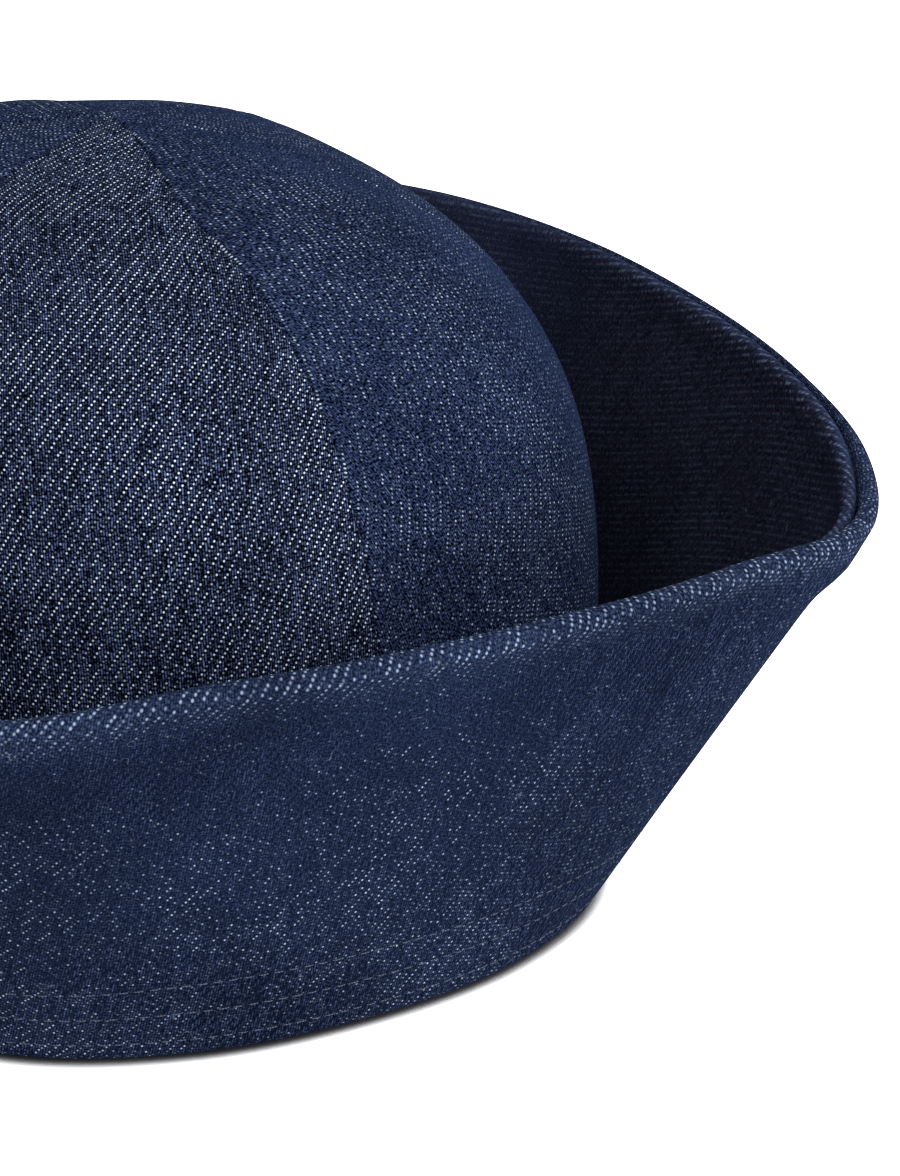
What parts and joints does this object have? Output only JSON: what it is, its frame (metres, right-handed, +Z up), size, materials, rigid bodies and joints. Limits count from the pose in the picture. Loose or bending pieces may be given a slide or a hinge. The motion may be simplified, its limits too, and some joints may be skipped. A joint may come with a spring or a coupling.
{
  "type": "sailor hat",
  "caption": "Soft denim sailor hat with a domed crown of sewn gores inside a wide flared brim turned up all round, to wear or to lay on a table.",
  "frame": {"origin": "on the surface the hat lies on, below the middle of the brim", "axes": "+Z up through the crown, front of the hat towards -Y, +X towards the wearer's left"},
  "size_m": [0.225, 0.2734, 0.136],
  "materials": {
    "crown_denim": "dark indigo cotton twill with pale weft dots and a soft nap",
    "brim_denim": "dark indigo cotton twill, paler where it turns at the rim",
    "brim_facing_denim": "dark indigo cotton twill with faint ribs"
  },
  "bodies": {
    "root": {"brim_outer": "brim_denim", "brim_inner": "brim_facing_denim", "crown_panel_1": "crown_denim", "crown_panel_2": "crown_denim", "crown_panel_3": "crown_denim", "crown_panel_4": "crown_denim", "crown_panel_5": "crown_denim", "crown_panel_6": "crown_denim"}
  },
  "joints": []
}
